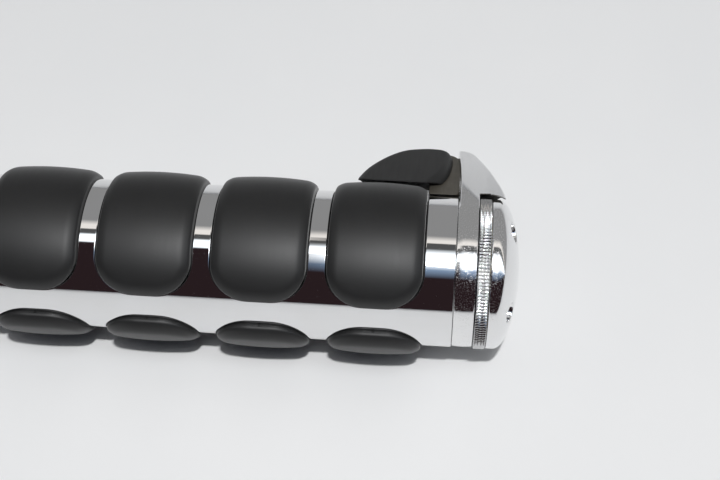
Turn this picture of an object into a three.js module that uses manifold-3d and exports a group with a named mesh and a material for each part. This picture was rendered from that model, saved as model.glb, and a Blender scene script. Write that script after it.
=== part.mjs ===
// Throttle-side handlebar grip: a chrome shell with two rows of proud rubber pads on a rubber-isolated
// throttle tube, a palm rest that swivels round the outer end, and a screw-on domed end cap that clamps it.
// Millimetres. While the pieces are made, the grip's axis is X (outboard is +X) and X = 0 is the joint
// between the shell and the palm rest's collar. +Z is up and +Y is towards the rider's palm.
import * as THREE from 'three';
import { mergeVertices } from 'three/addons/utils/BufferGeometryUtils.js';
import Module from 'manifold-3d';

const wasm = await Module();
wasm.setup();

// Driving dimensions
const GAP = 0.3;                    // clearance left between touching pieces
const BAR_BORE_R = 12.95;           // running bore for a 25.4 mm handlebar
const TUBE_R = 14.2;
const TUBE_INBOARD_X = -126;
const ISOLATOR_R = 15.2;
const SHELL_R = 17;
const SHELL_WALL = 1.5;
const SHELL_MARGIN = 6.93;          // plain chrome between the end pads and the shell's ends
const PAD_WIDTH = 20.64;
const PAD_PITCH = 25.2;
const PADS_PER_ROW = 4;
const PAD_WRAP = 155.6;             // degrees of the circle that one pad covers
const PAD_CORNER_R = 8;
const PAD_CROWN_R = 19.4;
const PAD_BASE_R = 15.8;
const PAD_SIDE_DROP = 0.5;          // how far the crown falls from its middle to its sides
const PAD_EDGE_DROP = 0.4;          // and then over the rounded edge
const PAD_END_DROP = 1.5;           // and over the longer rounding at the two ends
const PAD_LAND_STEP = 20;           // degrees taken up by the flat land that the part rests on
const UPPER_ROW_ANGLE = 109;        // row centres, degrees from the front horizontal through the top
const LOWER_ROW_ANGLE = -71;
const COLLAR_WIDTH = 4.6;
const KNURL_WIDTH = 2.5;
const CAP_TIP_X = 14.4;
const CAP_RISE = 5.3;               // how far the dome bulges past its straight rim
const SPANNER_HOLE_R = 2;
const SPANNER_CIRCLE_R = 12.4;
const THREAD_R = 9.5;
const WING_ANGLE = 121;             // direction of the wing's top face, degrees as for the rows
const WING_REACH = 28.2;            // from the tangent point to the wing's far edge
const ROUND_STEPS = 40;

const SHELL_LENGTH = (PADS_PER_ROW - 1) * PAD_PITCH + PAD_WIDTH + 2 * SHELL_MARGIN;
const SHELL_OUT_X = -GAP / 2;
const COLLAR_IN_X = GAP / 2;
const COLLAR_OUT_X = COLLAR_IN_X + COLLAR_WIDTH;
const KNURL_IN_X = COLLAR_OUT_X + 0.2;
const KNURL_OUT_X = KNURL_IN_X + KNURL_WIDTH;
const DOME_IN_X = KNURL_OUT_X + GAP;
const ISOLATOR_IN_R = TUBE_R + GAP;
const FLANGE_X = -SHELL_LENGTH - GAP;
const HUB_FACE_X = -16;
const TUBE_OUT_X = -2.3;
const PALM_CLEAR_R = 20.1;          // the wing passes over the pads at this radius
const CAP_CLEAR_R = 18;             // the wing's hood passes over the end cap at this radius

// Inside the clamped end, from the hub outwards
const JOURNAL_R = 12;               // the palm rest's collar turns on this
const JOURNAL_OUT_X = 2.3;
const HUB_BORE_R = 6;
const THREAD_OUT_X = 10.6;
const FLAT_HALF = 8.7;              // half the width across the spigot's two flats
const WASHER_IN_X = 2.9;
const WASHER_OUT_X = 4;
const WASHER_R = 14.1;
const O_RING_X = 5;
const O_RING_R = 12;
const O_RING_SECTION_R = 0.65;
const INSERT_IN_X = 6;
const INSERT_OUT_X = 10.1;
const INSERT_R = 13.6;
const CAP_BORE_R = INSERT_R + GAP;
const SEAT_R = WASHER_R + GAP;
const FAR_OUT = 30;                 // past every surface, for cutting tools

const CHROME = { color: 0xd8dadd, metalness: 1, roughness: 0.06 };
const RUBBER = { color: 0x2b2b2c, metalness: 0, roughness: 0.62 };
const PLASTIC = { color: 0x1d1e20, metalness: 0, roughness: 0.5 };
const ALLOY = { color: 0xb9bcc0, metalness: 1, roughness: 0.35 };
const BRASS = { color: 0xc7a252, metalness: 1, roughness: 0.3 };
const STEEL = { color: 0x8d9093, metalness: 1, roughness: 0.3 };

const radians = (degrees) => degrees * Math.PI / 180;

// --- Shape helpers -----------------------------------------------------------------------------

function solid(geometry) {
  const plain = geometry.index ? geometry.toNonIndexed() : geometry.clone();
  plain.deleteAttribute('normal');
  plain.deleteAttribute('uv');
  const merged = mergeVertices(plain, 1e-4);
  const mesh = new wasm.Mesh({
    numProp: 3,
    vertProperties: Float32Array.from(merged.attributes.position.array),
    triVerts: Uint32Array.from(merged.index.array),
  });
  return new wasm.Manifold(mesh);
}

function geometryOf(manifold) {
  const mesh = manifold.getMesh();
  const geometry = new THREE.BufferGeometry();
  geometry.setAttribute('position', new THREE.BufferAttribute(mesh.vertProperties, 3));
  geometry.setIndex(new THREE.BufferAttribute(mesh.triVerts, 1));
  geometry.computeVertexNormals();
  return geometry;
}

// A closed [x, radius] outline turned about the X axis. The outline runs round its solid so that the
// outer surface is walked towards +X.
function turned(outline, steps = ROUND_STEPS) {
  const points = outline.map(([x, radius]) => new THREE.Vector2(radius, x));
  points.push(points[0].clone());
  return solid(new THREE.LatheGeometry(points, steps).rotateZ(-Math.PI / 2));
}

function ring(x0, x1, innerR, outerR, steps = ROUND_STEPS) {
  return turned([[x0, outerR], [x1, outerR], [x1, innerR], [x0, innerR]], steps);
}

function disc(x0, x1, radius, steps = ROUND_STEPS) {
  const points = [[0, x0], [radius, x0], [radius, x1], [0, x1]].map(([r, x]) => new THREE.Vector2(r, x));
  return solid(new THREE.LatheGeometry(points, steps).rotateZ(-Math.PI / 2));
}

// A round bar along a direction, between two distances from the origin of that direction.
function bar(origin, direction, near, far, radius, steps = 12) {
  const geometry = new THREE.CylinderGeometry(radius, radius, far - near, steps);
  geometry.translate(0, (near + far) / 2, 0);
  const turn = new THREE.Quaternion().setFromUnitVectors(new THREE.Vector3(0, 1, 0), direction);
  geometry.applyQuaternion(turn);
  geometry.translate(origin.x, origin.y, origin.z);
  return solid(geometry);
}

function block(x0, x1, y0, y1, z0, z1) {
  const geometry = new THREE.BoxGeometry(x1 - x0, y1 - y0, z1 - z0);
  return solid(geometry.translate((x0 + x1) / 2, (y0 + y1) / 2, (z0 + z1) / 2));
}

// Skins a run of closed loops that all have the same number of points, and caps both ends.
function loft(loops) {
  const count = loops[0].length;
  const positions = loops.flat().flatMap((point) => [point.x, point.y, point.z]);
  const index = [];
  for (let row = 0; row < loops.length - 1; row += 1) {
    for (let i = 0; i < count; i += 1) {
      const a = row * count + i;
      const b = row * count + (i + 1) % count;
      index.push(a, b, a + count, b, b + count, a + count);
    }
  }
  const last = (loops.length - 1) * count;
  for (let i = 1; i < count - 1; i += 1) {
    index.push(0, i + 1, i);
    index.push(last, last + i, last + i + 1);
  }
  const geometry = new THREE.BufferGeometry();
  geometry.setAttribute('position', new THREE.Float32BufferAttribute(positions, 3));
  geometry.setIndex(index);
  return solid(geometry);
}

// A point at an angle round the grip: 0 is the front horizontal, 90 is the top.
function around(x, radius, degrees) {
  const angle = radians(degrees);
  return new THREE.Vector3(x, -radius * Math.cos(angle), radius * Math.sin(angle));
}

// --- Pads and the shell's windows --------------------------------------------------------------

const PAD_HALF_WRAP = PAD_WRAP / 2;
const PAD_EDGE_WIDTH = 1;
const PAD_END_LENGTH = 2.4;

function spaced(from, to, count) {
  return Array.from({ length: count }, (_, i) => from + (to - from) * i / (count - 1));
}

// Angles from a pad's centre: close together at its ends, with one wide step that makes the flat land.
function padStations() {
  const nearEnd = [0, 1.4, 4.8, 9.8];
  const landMiddle = -90 - LOWER_ROW_ANGLE;
  const landLow = landMiddle - PAD_LAND_STEP / 2;
  const landHigh = landMiddle + PAD_LAND_STEP / 2;
  const plain = PAD_HALF_WRAP - 18;
  return [...nearEnd.map((step) => step - PAD_HALF_WRAP), ...spaced(-plain, landLow, 4),
    ...spaced(landHigh, plain, 7), ...nearEnd.map((step) => PAD_HALF_WRAP - step).reverse()];
}

const PAD_STATIONS = padStations();

// Half the width of a rounded rectangle wrapped round the shell, at an angle from its centre.
function padHalfWidth(offset) {
  const fromEnd = radians(PAD_HALF_WRAP - Math.abs(offset)) * SHELL_R;
  const intoCorner = Math.max(0, PAD_CORNER_R - fromEnd);
  return PAD_WIDTH / 2 - PAD_CORNER_R + Math.sqrt(PAD_CORNER_R ** 2 - intoCorner ** 2);
}

function padCrown(station) {
  const before = PAD_STATIONS[Math.max(0, station - 1)];
  const after = PAD_STATIONS[Math.min(PAD_STATIONS.length - 1, station + 1)];
  const here = PAD_STATIONS[station];
  const widestStep = Math.max(here - before, after - here);
  const fromEnd = radians(PAD_HALF_WRAP - Math.abs(here)) * SHELL_R;
  const drop = PAD_END_DROP * Math.max(0, 1 - fromEnd / PAD_END_LENGTH) ** 2;
  return PAD_CROWN_R / Math.cos(radians(widestStep / 2)) - drop;
}

function pad(rowAngle, centreX) {
  return loft(PAD_STATIONS.map((offset, station) => {
    const half = padHalfWidth(offset);
    const flat = half - PAD_EDGE_WIDTH;
    const crown = padCrown(station);
    const side = crown - PAD_SIDE_DROP * (flat / (PAD_WIDTH / 2 - PAD_EDGE_WIDTH)) ** 2;
    const edge = side - PAD_EDGE_DROP;
    const outline = [[-half, PAD_BASE_R], [-half, edge], [-flat, side], [-flat / 2, crown], [flat / 2, crown],
      [flat, side], [half, edge], [half, PAD_BASE_R]];
    return outline.map(([x, radius]) => around(centreX + x, radius, rowAngle + offset));
  }));
}

function padWindow(rowAngle, centreX) {
  const margin = GAP / SHELL_R * 180 / Math.PI;
  const stretch = (PAD_HALF_WRAP + margin) / PAD_HALF_WRAP;
  return loft(PAD_STATIONS.map((offset) => {
    const half = padHalfWidth(offset) + GAP;
    const outline = [[-half, SHELL_R - SHELL_WALL - 1], [-half, SHELL_R + 1.2],
      [half, SHELL_R + 1.2], [half, SHELL_R - SHELL_WALL - 1]];
    return outline.map(([x, radius]) => around(centreX + x, radius, rowAngle + offset * stretch));
  }));
}

// Pad 1 is the inboard one.
const padCentreX = (number) => -SHELL_MARGIN - PAD_WIDTH / 2 - (PADS_PER_ROW - number) * PAD_PITCH;
const padNumbers = Array.from({ length: PADS_PER_ROW }, (_, i) => i + 1);

function gripShell() {
  const windows = [UPPER_ROW_ANGLE, LOWER_ROW_ANGLE].flatMap(
    (angle) => padNumbers.map((number) => padWindow(angle, padCentreX(number))));
  const sleeve = ring(-SHELL_LENGTH, SHELL_OUT_X, SHELL_R - SHELL_WALL, SHELL_R);
  return windows.reduce((shell, cutter) => shell.subtract(cutter), sleeve);
}

// --- Inner sleeve and tube ---------------------------------------------------------------------

function isolatorSleeve() {
  return turned([[FLANGE_X - 1.5, SHELL_R], [FLANGE_X, SHELL_R], [FLANGE_X, ISOLATOR_R], [TUBE_OUT_X, ISOLATOR_R],
    [TUBE_OUT_X, ISOLATOR_IN_R], [FLANGE_X - 1.5, ISOLATOR_IN_R]]);
}

const SCREW_X = -9;
const SCREW_ANGLES = [61, 181, 301];
const SCREW_R = 1.25;

// The tube's inboard end carries the cable drum, with a slot in its wall for the cable's nipple.
function throttleTube() {
  const drumR = 18.4;
  const drumX = FLANGE_X - 1.5 - GAP;
  const tube = turned([[TUBE_INBOARD_X, 15], [drumX - 6.8, 15], [drumX - 6.8, drumR], [drumX - 5, drumR],
    [drumX - 5, 16.2], [drumX - 1.8, 16.2], [drumX - 1.8, drumR], [drumX, drumR], [drumX, TUBE_R],
    [TUBE_OUT_X, TUBE_R], [TUBE_OUT_X, BAR_BORE_R], [TUBE_INBOARD_X, BAR_BORE_R]]);
  const nippleSlot = bar(around(drumX - 8, 18, 90), new THREE.Vector3(1, 0, 0), 0, 4, 1.6);
  return screwHoles(tube.subtract(nippleSlot));
}

function screwHoles(body) {
  return SCREW_ANGLES.reduce((rest, angle) => rest.subtract(
    bar(new THREE.Vector3(SCREW_X, 0, 0), around(0, 1, angle), 7, TUBE_R + 1, SCREW_R + GAP)), body);
}

function hubScrew(angle) {
  const axis = around(0, 1, angle);
  const origin = new THREE.Vector3(SCREW_X, 0, 0);
  const shank = bar(origin, axis, 7.4, TUBE_R, SCREW_R);
  return shank.subtract(bar(origin, axis, TUBE_R - 1, TUBE_R + 1, 0.7, 6));
}

// --- Hub, thrust washer and end cap ------------------------------------------------------------

function endHub() {
  const body = turned([[TUBE_OUT_X, BAR_BORE_R - GAP], [TUBE_OUT_X + GAP, BAR_BORE_R - GAP],
    [TUBE_OUT_X + GAP, ISOLATOR_R], [SHELL_OUT_X, ISOLATOR_R], [SHELL_OUT_X, JOURNAL_R],
    [JOURNAL_OUT_X, JOURNAL_R], [JOURNAL_OUT_X, HUB_BORE_R], [TUBE_OUT_X, HUB_BORE_R]]);
  const plug = disc(HUB_FACE_X, TUBE_OUT_X + 1, BAR_BORE_R - GAP);
  const keyed = block(HUB_FACE_X, FAR_OUT, -FLAT_HALF, FLAT_HALF, -FAR_OUT, FAR_OUT);
  const thread = disc(HUB_FACE_X, THREAD_OUT_X, THREAD_R).intersect(keyed);
  return screwHoles(body.add(plug).add(thread));
}

// The washer's bore has the spigot's two flats, so that it can slide but not turn.
function thrustWasher() {
  const keyed = block(-FAR_OUT, FAR_OUT, -FLAT_HALF - GAP, FLAT_HALF + GAP, -FAR_OUT, FAR_OUT);
  const bore = disc(-FAR_OUT, FAR_OUT, THREAD_R + GAP).intersect(keyed);
  return disc(WASHER_IN_X, WASHER_OUT_X, WASHER_R).subtract(bore);
}

function capORing() {
  const section = Array.from({ length: 8 }, (_, i) => radians(-45 * i));
  return turned(section.map((angle) => [O_RING_X + O_RING_SECTION_R * Math.cos(angle),
    O_RING_R + O_RING_SECTION_R * Math.sin(angle)]));
}

function capInsert() {
  return ring(INSERT_IN_X, INSERT_OUT_X, THREAD_R + GAP, INSERT_R);
}

function knurledRing() {
  const teeth = 30;
  const bevel = 0.4;
  const section = [[KNURL_IN_X, SHELL_R - bevel], [KNURL_IN_X + bevel, SHELL_R], [KNURL_OUT_X - bevel, SHELL_R],
    [KNURL_OUT_X, SHELL_R - bevel], [KNURL_OUT_X, CAP_BORE_R], [KNURL_IN_X, CAP_BORE_R]];
  const grooves = Array.from({ length: teeth }, (_, i) => around(KNURL_IN_X, SHELL_R + 0.1, i * 360 / teeth));
  const outward = new THREE.Vector3(1, 0, 0);
  return grooves.reduce((rest, place) => rest.subtract(bar(place, outward, -1, KNURL_WIDTH + 1, 0.4, 4)),
    turned(section, 60));
}

function capDome() {
  const rimX = CAP_TIP_X - CAP_RISE;
  const roofX = THREAD_OUT_X + 2 * GAP;
  const shoulderX = INSERT_OUT_X + GAP;
  const roofR = THREAD_R + 0.7;
  const bulge = [75, 60, 45, 30, 15].map((angle) => [
    rimX + CAP_RISE * Math.cos(radians(angle)), SHELL_R * Math.sin(radians(angle))]);
  const outline = [[roofX, 0], [roofX, roofR], [shoulderX, roofR], [shoulderX, CAP_BORE_R],
    [DOME_IN_X, CAP_BORE_R], [DOME_IN_X, SHELL_R], [rimX, SHELL_R], ...bulge, [CAP_TIP_X, 0]];
  const profile = outline.map(([x, radius]) => new THREE.Vector2(radius, x));
  const dome = solid(new THREE.LatheGeometry(profile, ROUND_STEPS).rotateZ(-Math.PI / 2));
  return [16, 106, 196, 286].reduce((rest, angle) => rest.subtract(bar(
    around(0, SPANNER_CIRCLE_R, angle), new THREE.Vector3(1, 0, 0), roofX, FAR_OUT, SPANNER_HOLE_R, 16)), dome);
}

// --- Palm rest ---------------------------------------------------------------------------------

const WING_UP = around(0, 1, WING_ANGLE);
const WING_BACK = around(0, 1, WING_ANGLE + 90);
const WING_TOP = SHELL_R;
const WING_FLOOR = 15.9;
const ARM_UNDERSIDE = 11.5;
const PALM_PAD_TOP = 18.2;
const HOOD_NOSE_X = 11;

// A point of the wing: along the grip, back from the tangent point, and up from the axis.
function onWing(x, back, up) {
  return new THREE.Vector3(x, 0, 0).addScaledVector(WING_BACK, back).addScaledVector(WING_UP, up);
}

// A prism that stands on the wing: its outline is [x, back] pairs, anticlockwise seen from above.
function wingPrism(outline, low, high) {
  return loft([low, high].map((up) => outline.map(([x, back]) => onWing(x, back, up))));
}

// The palm pad's outline: a leaf that is cut off where it meets the pads.
function palmPadOutline(inset) {
  const leaf = new THREE.CatmullRomCurve3([[-1.5, 24.5], [-3.2, 27.4], [-9, 27.9], [-14, 26.1], [-18.5, 21.4],
    [-22.2, 15], [-23.9, 7.5], [-21, 3], [-11, 3], [-5.4, 7.5], [-2.6, 15]]
    .map(([x, back]) => new THREE.Vector3(x, back, 0)), true, 'centripetal');
  const points = leaf.getSpacedPoints(30).slice(0, -1);
  const centre = new THREE.Vector3(-12, 16, 0);
  return points.map((point) => {
    const inward = centre.clone().sub(point).setLength(inset);
    return [point.x + inward.x, point.y + inward.y];
  });
}

function hoodOutline() {
  const curve = Array.from({ length: 13 }, (_, i) => radians(7.5 * i)).map((angle) => [
    COLLAR_IN_X + (HOOD_NOSE_X - COLLAR_IN_X) * Math.cos(angle) ** (2 / 1.7),
    WING_REACH * Math.sin(angle) ** (2 / 1.7)]);
  return [[COLLAR_IN_X, -0.5], [HOOD_NOSE_X, -0.5], ...curve];
}

// The hood's section: the wing's flat top, its far edge and the underside that runs back to the collar.
function hoodSection() {
  const tip = new THREE.Vector2(WING_REACH - 0.6, ARM_UNDERSIDE + 0.8);
  const tangent = Math.atan2(tip.x, tip.y) + Math.acos(SHELL_R / tip.length());
  const under = [SHELL_R * Math.sin(tangent), SHELL_R * Math.cos(tangent)];
  const section = [[-0.4, 10], under, [tip.x, tip.y], [WING_REACH, tip.y + 1], [WING_REACH, WING_TOP - 0.8],
    [WING_REACH - 0.8, WING_TOP], [-0.4, WING_TOP]];
  return loft([COLLAR_IN_X, HOOD_NOSE_X + 1].map((x) => section.map(([back, up]) => onWing(x, back, up))));
}

const PALM_SCREWS = [[-8, 21], [-16, 18]];

function palmScrewHoles(body, radius, low, high) {
  return PALM_SCREWS.reduce((rest, [x, back]) => rest.subtract(
    bar(onWing(x, back, 0), WING_UP, low, high, radius)), body);
}

function palmRestBracket() {
  const collar = ring(COLLAR_IN_X, COLLAR_OUT_X, JOURNAL_R + GAP, SHELL_R);
  const washerSeat = disc(WASHER_IN_X - GAP, FAR_OUT, SEAT_R);
  const hood = hoodSection().intersect(wingPrism(hoodOutline(), -FAR_OUT, FAR_OUT));
  const arm = wingPrism(palmPadOutline(-0.7), ARM_UNDERSIDE, WING_FLOOR)
    .add(wingPrism([[-14, 12], [0.5, 12], [0.5, 27.8], [-9, 28.2]], ARM_UNDERSIDE, WING_FLOOR));
  const padClearance = disc(-40, -6.2, PALM_CLEAR_R, 96);
  const shellClearance = disc(-10, COLLAR_IN_X, SHELL_R + 0.4, 96);
  const capClearance = disc(COLLAR_OUT_X, 20, CAP_CLEAR_R, 96);
  const wing = hood.add(arm).subtract(padClearance).subtract(shellClearance).subtract(capClearance);
  const core = disc(0, COLLAR_OUT_X, JOURNAL_R + GAP);
  const bracket = collar.add(wing).subtract(core).subtract(washerSeat);
  const shanks = palmScrewHoles(bracket, SCREW_R + GAP, 5, 20);
  return palmScrewHoles(shanks, 2.2 + GAP, 5, ARM_UNDERSIDE + 1.6);
}

function palmRestPad() {
  const base = WING_FLOOR + GAP;
  const rim = PALM_PAD_TOP - 0.9;
  const loops = [[0, base], [0, rim], [0.9, PALM_PAD_TOP]].map(([inset, up]) => (
    palmPadOutline(inset).map(([x, back]) => onWing(x, back, up))));
  const body = loft(loops).subtract(disc(-40, 1, PALM_CLEAR_R, 96));
  return palmScrewHoles(body, SCREW_R + GAP, 12, base + 1.3);
}

function palmRestScrew([x, back]) {
  const origin = onWing(x, back, 0);
  const head = bar(origin, WING_UP, ARM_UNDERSIDE + 0.1, ARM_UNDERSIDE + 1.3, 2.2);
  const shank = bar(origin, WING_UP, ARM_UNDERSIDE + 1, WING_FLOOR + 1.2, SCREW_R);
  return head.add(shank).subtract(bar(origin, WING_UP, ARM_UNDERSIDE - 1, ARM_UNDERSIDE + 0.8, 1, 6));
}

// --- Assembly ----------------------------------------------------------------------------------

const grip = new THREE.Group();

function place(name, shape, finish) {
  const mesh = new THREE.Mesh(geometryOf(shape), new THREE.MeshStandardMaterial(finish));
  mesh.name = name;
  grip.add(mesh);
}

place('throttle_tube', throttleTube(), PLASTIC);
place('isolator_sleeve', isolatorSleeve(), RUBBER);
place('grip_shell', gripShell(), CHROME);
for (const number of padNumbers) {
  place(`grip_pad_upper_${number}`, pad(UPPER_ROW_ANGLE, padCentreX(number)), RUBBER);
  place(`grip_pad_lower_${number}`, pad(LOWER_ROW_ANGLE, padCentreX(number)), RUBBER);
}
place('end_hub', endHub(), ALLOY);
SCREW_ANGLES.forEach((angle, i) => place(`hub_screw_${i + 1}`, hubScrew(angle), STEEL));
place('palm_rest_bracket', palmRestBracket(), CHROME);
place('palm_rest_pad', palmRestPad(), RUBBER);
PALM_SCREWS.forEach((spot, i) => place(`palm_rest_screw_${i + 1}`, palmRestScrew(spot), STEEL));
place('thrust_washer', thrustWasher(), STEEL);
place('knurled_ring', knurledRing(), CHROME);
place('cap_dome', capDome(), CHROME);
place('cap_insert', capInsert(), BRASS);
place('cap_o_ring', capORing(), RUBBER);

// The origin is under the middle of the whole part, on the surface that it rests on.
const box = new THREE.Box3().setFromObject(grip);
const middle = box.getCenter(new THREE.Vector3());
grip.position.set(-middle.x, -middle.y, -box.min.z);

export default grip;
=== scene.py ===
import math

import bpy
import numpy as np
from mathutils import Matrix, Quaternion, Vector


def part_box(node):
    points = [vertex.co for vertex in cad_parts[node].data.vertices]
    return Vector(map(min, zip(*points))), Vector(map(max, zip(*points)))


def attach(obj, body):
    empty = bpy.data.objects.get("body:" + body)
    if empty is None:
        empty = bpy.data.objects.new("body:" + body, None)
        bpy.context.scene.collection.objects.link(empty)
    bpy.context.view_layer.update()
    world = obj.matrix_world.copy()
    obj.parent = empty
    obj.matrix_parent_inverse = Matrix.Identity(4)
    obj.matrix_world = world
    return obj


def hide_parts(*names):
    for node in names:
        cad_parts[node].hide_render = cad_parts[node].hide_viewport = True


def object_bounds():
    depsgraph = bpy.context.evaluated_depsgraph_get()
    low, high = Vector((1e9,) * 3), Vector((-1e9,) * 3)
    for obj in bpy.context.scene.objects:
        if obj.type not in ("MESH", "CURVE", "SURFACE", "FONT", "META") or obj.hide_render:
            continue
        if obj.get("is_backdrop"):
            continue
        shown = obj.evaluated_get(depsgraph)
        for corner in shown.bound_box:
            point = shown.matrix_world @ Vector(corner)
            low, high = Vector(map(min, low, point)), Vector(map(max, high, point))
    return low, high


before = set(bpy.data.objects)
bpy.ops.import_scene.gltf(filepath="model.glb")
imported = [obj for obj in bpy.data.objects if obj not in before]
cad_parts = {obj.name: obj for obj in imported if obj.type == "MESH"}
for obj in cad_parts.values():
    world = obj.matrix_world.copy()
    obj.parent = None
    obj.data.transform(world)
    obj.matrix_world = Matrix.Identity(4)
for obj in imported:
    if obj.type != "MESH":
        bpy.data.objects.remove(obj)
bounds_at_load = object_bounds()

MM = 0.001

# Where the grip's axis and the joint between shell and palm rest lie, from the CAD shell.
shell_low, shell_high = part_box("grip_shell")
AXIS_Y = (shell_low.y + shell_high.y) / 2
AXIS_Z = (shell_low.z + shell_high.z) / 2
SEAM_GAP = 0.15
SEAM_X = shell_high.x + SEAM_GAP * MM
ORIGIN = np.array([SEAM_X, AXIS_Y, AXIS_Z])

# Sizes in millimetres, in the grip's own frame: X along the axis from the seam, angles from the front
# horizontal (0) through the top (90).
SHELL_R = 17.0
SHELL_WALL = 1.5
SHELL_LENGTH = (shell_high.x - shell_low.x) / MM
SHELL_INNER_R = SHELL_R - SHELL_WALL
SHELL_IN_X = -SEAM_GAP - SHELL_LENGTH
SHELL_OUT_X = -0.02
TUBE_IN_X = -126
TUBE_OUT_X = -2.3
BORE_R = 12.95
PAD_PITCH = 25.2
PAD_HALF_WIDTH = 10.32
PAD_HALF_WRAP = math.radians(77.8)
PAD_CORNER_R = 8.0
PAD_BASE_R = 15.8
PAD_CROWN_R = 19.4
WINDOW_MARGIN = 0.22
ROW_ANGLES = {"upper": math.radians(109), "lower": math.radians(-71)}
PAD_CENTRES = [-17.25 - (4 - n) * PAD_PITCH for n in (1, 2, 3, 4)]
COLLAR_IN_X = 0.02
COLLAR_OUT_X = 4.75
KNURL_IN_X = 4.83
KNURL_OUT_X = 7.56
DOME_IN_X = 7.62
DOME_RIM_X = 9.1
DOME_R = 16.85
CAP_TIP_X = 14.4
CAVITY_R = 13.9
WING_ANGLE = math.radians(121)
HUB_SCREW_ANGLES = [math.radians(a) for a in (61, 181, 301)]
HUB_SCREW_X = -9
SPANNER_HOLE_ANGLES = [math.radians(a) for a in (20, 110, 200, 290)]
THREAD_PITCH = 1.5
PALM_SCREWS = [(-8, 21), (-16, 18)]


# --- Turning numbers into meshes ------------------------------------------------------------------

def to_row(points):
    """Grip-frame millimetres to row-frame metres."""
    return np.asarray(points, float) * MM + ORIGIN


def around(x, radius, angle):
    """Points at an angle round the grip."""
    x, radius, angle = np.broadcast_arrays(x, radius, angle)
    return np.stack([x, -radius * np.cos(angle), radius * np.sin(angle)], -1)


def unit(vectors):
    return vectors / np.maximum(np.linalg.norm(vectors, axis=-1, keepdims=True), 1e-12)


def as_quads(faces):
    """The faces as rows of four points, with a triangle's last point given twice."""
    return np.array([f if len(f) == 4 else (*f, f[-1]) for f in faces])


def face_directions(points, quads):
    """The way each face looks, as a vector as long as twice its area."""
    a, b, c, d = (points[quads[:, i]] for i in range(4))
    look = np.cross(c - a, d - b)
    triangle = quads[:, 2] == quads[:, 3]
    look[triangle] = np.cross(b[triangle] - a[triangle], c[triangle] - a[triangle])
    return look


def area_normals(points, faces):
    """Vertex normals weighted by face area, so that flats stay flat beside small roundings."""
    normals = np.zeros_like(points)
    quads = as_quads(faces)
    look = face_directions(points, quads)
    size = np.linalg.norm(look, axis=1, keepdims=True)
    for corner in range(4):
        np.add.at(normals, quads[:, corner], look * size)
    return unit(normals)


def weld(points, faces, normals=None):
    """Merges points at the same place and drops faces that collapse."""
    keys = np.round(points / 1e-4).astype(np.int64)
    _, first, inverse = np.unique(keys, axis=0, return_index=True, return_inverse=True)
    inverse = inverse.reshape(-1)
    merged = []
    for face in faces:
        ring = [inverse[i] for i in face]
        ring = [v for i, v in enumerate(ring) if v != ring[i - 1]]
        if len(set(ring)) >= 3:
            merged.append(ring)
    if normals is not None:
        total = np.zeros((len(first), 3))
        np.add.at(total, inverse, normals)
        normals = unit(total)
    return points[first], merged, normals


def piece(name, points, faces, finish, body, nodes, normals=None, other=None):
    """A finished piece that rides on a body and stands for CAD nodes.

    other is a second finish and a test on the faces' middles that says which faces have it.
    """
    mesh = bpy.data.meshes.new(name)
    mesh.from_pydata(to_row(points).tolist(), [], [list(map(int, f)) for f in faces])
    mesh.update()
    mesh.polygons.foreach_set("use_smooth", [True] * len(mesh.polygons))
    if normals is None:
        normals = area_normals(np.asarray(points, float), faces)
    mesh.normals_split_custom_set_from_vertices(normals.tolist())
    mesh.materials.append(finish)
    if other:
        mesh.materials.append(other[0])
        middles = np.array([points[list(f)].mean(0) for f in faces])
        mesh.polygons.foreach_set("material_index", other[1](middles).astype(np.int32))
    thing = bpy.data.objects.new(name, mesh)
    bpy.context.scene.collection.objects.link(thing)
    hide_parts(*nodes)
    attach(thing, body)
    return thing


def grid_faces(rows, columns, start=0, wrap=False):
    """Quads over a grid of points, rows by columns. wrap joins the last column to the first."""
    faces = []
    for r in range(rows - 1):
        for c in range(columns if wrap else columns - 1):
            n = (c + 1) % columns
            faces.append((start + r * columns + c, start + r * columns + n,
                          start + (r + 1) * columns + n, start + (r + 1) * columns + c))
    return faces


def softened(outline, radius, steps=3):
    """A closed outline with each corner turned into a small arc."""
    result = []
    count = len(outline)
    for i, corner in enumerate(outline):
        corner = np.array(corner, float)
        before = np.array(outline[i - 1], float) - corner
        after = np.array(outline[(i + 1) % count], float) - corner
        if corner[1] == 0:
            result.append(corner)
            continue
        reach = min(radius, 0.4 * np.linalg.norm(before), 0.4 * np.linalg.norm(after))
        start = corner + unit(before) * reach
        end = corner + unit(after) * reach
        for k in range(steps + 1):
            t = k / steps
            result.append((1 - t) ** 2 * start + 2 * t * (1 - t) * corner + t ** 2 * end)
    return result


def turned(outline, radius=0.2, segments=192):
    """A closed [x, r] outline turned about the axis, with softened corners."""
    profile = np.array(softened(outline, radius))
    angles = np.linspace(0, 2 * math.pi, segments, endpoint=False)
    points = around(profile[:, 0][:, None], profile[:, 1][:, None], angles[None, :]).reshape(-1, 3)
    faces = grid_faces(len(profile), segments, wrap=True)
    last = (len(profile) - 1) * segments
    faces += [(last + c, last + (c + 1) % segments, (c + 1) % segments, c) for c in range(segments)]
    points, faces, _ = weld(points, faces)
    return oriented(points, faces)


def oriented(points, faces):
    """The same closed mesh with its faces turned outwards."""
    points = np.asarray(points, float)
    a, b, c, d = points[as_quads(faces)].transpose(1, 0, 2)
    volume = (a * np.cross(b, c)).sum() + (a * np.cross(c, d)).sum()
    return (points, faces) if volume > 0 else (points, [tuple(reversed(f)) for f in faces])


def turned_to(points, faces, normals):
    """The faces, each wound so that it looks the way its vertices' normals point."""
    quads = as_quads(faces)
    agrees = (face_directions(points, quads) * normals[quads].sum(1)).sum(1) > 0
    return [f if ok else f[::-1] for f, ok in zip(faces, agrees)]


# --- Implicit shapes ------------------------------------------------------------------------------

def smax(a, b, k):
    """Larger of two fields, with the edge between them rounded over about k."""
    h = np.maximum(k - np.abs(a - b), 0) / k
    return np.maximum(a, b) + h * h * k / 4


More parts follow.
